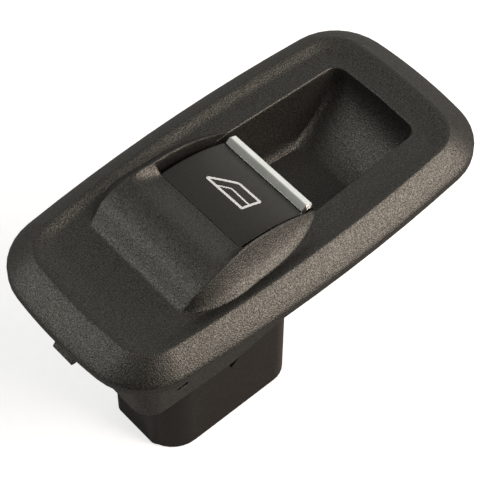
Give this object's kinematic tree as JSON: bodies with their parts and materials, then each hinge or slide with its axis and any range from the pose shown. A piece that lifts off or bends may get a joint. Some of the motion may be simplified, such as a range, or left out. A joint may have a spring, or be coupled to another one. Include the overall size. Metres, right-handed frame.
{
  "type": "power window switch",
  "caption": "Single door window switch: bowed bezel with raised saddle and finger cup, tilting rocker with chrome lifting bar, and a deep switch module below.",
  "frame": {"origin": "under the middle of the bezel, level with the bottom of the module housing", "axes": "+X along the bezel from the saddle to the finger cup, +Y across the bezel, +Z out of the door trim"},
  "size_m": [0.1146, 0.06, 0.0746],
  "materials": {
    "grained_plastic": "fine grained, satin",
    "satin_plastic": "smooth satin",
    "chrome_plate": "bright plated",
    "housing_plastic": "smooth moulded",
    "frame_plastic": "smooth moulded",
    "white_plastic": "smooth moulded",
    "steel": "plain",
    "tinned_brass": "tinned",
    "silicone": "matte",
    "board_green": "lacquered laminate",
    "chip_black": "matte",
    "clear_acrylic": "clear polished"
  },
  "bodies": {
    "switch_body": {"bezel": "grained_plastic", "pivot_pin": "steel", "carrier": "frame_plastic", "dome_front_right": "silicone", "dome_front_left": "silicone", "dome_rear_right": "silicone", "dome_rear_left": "silicone", "circuit_board": "board_green", "led": "white_plastic", "light_guide": "clear_acrylic", "control_chip": "chip_black", "resistor_left": "chip_black", "resistor_right": "chip_black", "module_housing": "housing_plastic", "terminal_block": "frame_plastic", "terminal_1": "tinned_brass", "terminal_2": "tinned_brass", "terminal_3": "tinned_brass", "terminal_4": "tinned_brass", "terminal_5": "tinned_brass", "terminal_6": "tinned_brass", "retaining_clip": "steel"},
    "rocker_body": {"rocker": "satin_plastic", "chrome_bar": "chrome_plate"},
    "plunger_front_right_body": {"plunger_front_right": "white_plastic"},
    "plunger_front_left_body": {"plunger_front_left": "white_plastic"},
    "plunger_rear_right_body": {"plunger_rear_right": "white_plastic"},
    "plunger_rear_left_body": {"plunger_rear_left": "white_plastic"}
  },
  "joints": [
    {"name": "rocker_tilt", "type": "hinge", "parent": "switch_body", "child": "rocker_body", "pos_m": [-0.009, 0, 0.068], "axis": [0, 1, 0], "range_deg": [-5, 6.5], "stiffness_Nm_per_rad": 0.6},
    {"name": "plunger_front_right_slide", "type": "slide", "parent": "switch_body", "child": "plunger_front_right_body", "axis": [0, 0, 1], "range_m": [-0.00057, 0.00075], "deforming": ["dome_front_right"]},
    {"name": "plunger_front_left_slide", "type": "slide", "parent": "switch_body", "child": "plunger_front_left_body", "axis": [0, 0, 1], "range_m": [-0.00057, 0.00075], "deforming": ["dome_front_left"]},
    {"name": "plunger_rear_right_slide", "type": "slide", "parent": "switch_body", "child": "plunger_rear_right_body", "axis": [0, 0, 1], "range_m": [-0.00075, 0.00057], "deforming": ["dome_rear_right"]},
    {"name": "plunger_rear_left_slide", "type": "slide", "parent": "switch_body", "child": "plunger_rear_left_body", "axis": [0, 0, 1], "range_m": [-0.00075, 0.00057], "deforming": ["dome_rear_left"]}
  ],
  "couplings": [
    {"joint": "plunger_front_right_slide", "follows": "rocker_tilt", "m_per_rad": 0.0065},
    {"joint": "plunger_front_left_slide", "follows": "rocker_tilt", "m_per_rad": 0.0065},
    {"joint": "plunger_rear_right_slide", "follows": "rocker_tilt", "m_per_rad": -0.0065},
    {"joint": "plunger_rear_left_slide", "follows": "rocker_tilt", "m_per_rad": -0.0065}
  ]
}
